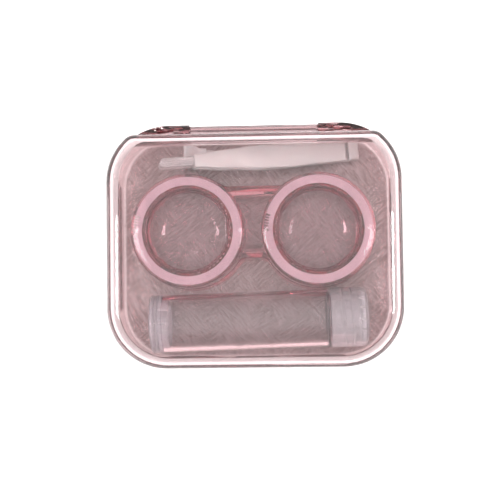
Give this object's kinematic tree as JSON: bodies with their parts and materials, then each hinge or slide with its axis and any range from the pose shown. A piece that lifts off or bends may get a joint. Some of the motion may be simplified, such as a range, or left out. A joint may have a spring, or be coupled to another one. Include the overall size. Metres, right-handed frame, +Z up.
{
  "type": "contact lens case",
  "caption": "Clear travel box with a hinged lid holding a screw-capped lens case, tweezers, a suction applicator and a saline bottle.",
  "frame": {"origin": "centre of the tray's flat underside", "axes": "+X along the box's width to the right, +Y to the hinge at the back, +Z up"},
  "size_m": [0.08, 0.067, 0.025],
  "materials": {
    "rose_clear": "smoky rose clear polystyrene, glossy",
    "clear_lid": "water-clear polystyrene, glossy",
    "rose_case": "rose clear plastic, glossy",
    "rose_cap": "rose clear plastic, glossy",
    "lilac_seal": "lilac silicone, satin",
    "clear_bottle": "clear plastic, glossy",
    "frosted_plug": "lilac-tinted clear plastic, slightly frosted",
    "frosted_cap": "milky translucent polypropylene",
    "soft_liner": "white foam liner",
    "milky_white": "milky white plastic, satin",
    "soft_tip": "clear silicone, satin",
    "soft_white": "soft white silicone, satin"
  },
  "bodies": {
    "tray": {"base_tray": "rose_clear"},
    "lid": {"lid_cover": "clear_lid"},
    "lens_case": {"case_body": "rose_case"},
    "left_cap_rise": {"left_cap_seal": "lilac_seal"},
    "left_cap_turn": {"left_cap": "rose_cap"},
    "right_cap_rise": {"right_cap_seal": "lilac_seal"},
    "right_cap_turn": {"right_cap": "rose_cap"},
    "bottle": {"bottle_tube": "clear_bottle", "bottle_base_plug": "frosted_plug", "bottle_dropper_plug": "frosted_plug"},
    "bottle_cap_advance": {"bottle_cap_liner": "soft_liner"},
    "bottle_cap_turn": {"bottle_cap": "frosted_cap"},
    "tweezers": {"tweezers_lower_arm": "milky_white", "tweezers_lower_tip": "soft_tip"},
    "tweezers_upper": {"tweezers_upper_arm": "milky_white", "tweezers_upper_tip": "soft_tip"},
    "applicator": {"applicator_stick": "milky_white", "applicator_cup": "soft_white"}
  },
  "joints": [
    {"name": "lid_hinge", "type": "hinge", "parent": "tray", "child": "lid", "pos_m": [0, 0.0316, 0.014], "axis": [-1, 0, 0], "range_deg": [0, 110]},
    {"name": "lens_case_lift", "type": "slide", "parent": "tray", "child": "lens_case", "axis": [0, 0, 1], "range_m": [0, 0.003]},
    {"name": "left_cap_lift", "type": "slide", "parent": "lens_case", "child": "left_cap_rise", "axis": [0, 0, 1], "range_m": [0, 0.003]},
    {"name": "left_cap_screw", "type": "hinge", "parent": "left_cap_rise", "child": "left_cap_turn", "pos_m": [-0.0185, 0.004, 0.015], "axis": [0, 0, 1], "range_deg": [0, 360]},
    {"name": "right_cap_lift", "type": "slide", "parent": "lens_case", "child": "right_cap_rise", "axis": [0, 0, 1], "range_m": [0, 0.003]},
    {"name": "right_cap_screw", "type": "hinge", "parent": "right_cap_rise", "child": "right_cap_turn", "pos_m": [0.0175, 0.004, 0.015], "axis": [0, 0, 1], "range_deg": [0, 360]},
    {"name": "bottle_lift", "type": "slide", "parent": "tray", "child": "bottle", "axis": [0, 0, 1], "range_m": [0, 0.003]},
    {"name": "bottle_cap_travel", "type": "slide", "parent": "bottle", "child": "bottle_cap_advance", "axis": [0.9997, 0.0262, 0], "range_m": [0, 0.0024]},
    {"name": "bottle_cap_screw", "type": "hinge", "parent": "bottle_cap_advance", "child": "bottle_cap_turn", "pos_m": [0.02578, -0.02036, 0.0102], "axis": [0.9997, 0.0262, 0], "range_deg": [0, 360]},
    {"name": "tweezers_lift", "type": "slide", "parent": "tray", "child": "tweezers", "axis": [0, 0, 1], "range_m": [0, 0.001]},
    {"name": "tweezers_squeeze", "type": "hinge", "parent": "tweezers", "child": "tweezers_upper", "pos_m": [0.02578, 0.02662, 0.00617], "axis": [0.0837, -0.9965, 0], "range_deg": [0, 4], "stiffness_Nm_per_rad": 0.02},
    {"name": "applicator_slide", "type": "slide", "parent": "tray", "child": "applicator", "axis": [-1, 0, 0], "range_m": [0, 0.005]}
  ],
  "couplings": [
    {"joint": "left_cap_lift", "follows": "left_cap_screw", "m_per_rad": 0.00047746},
    {"joint": "right_cap_lift", "follows": "right_cap_screw", "m_per_rad": 0.00047746},
    {"joint": "bottle_cap_travel", "follows": "bottle_cap_screw", "m_per_rad": 0.00038197}
  ]
}
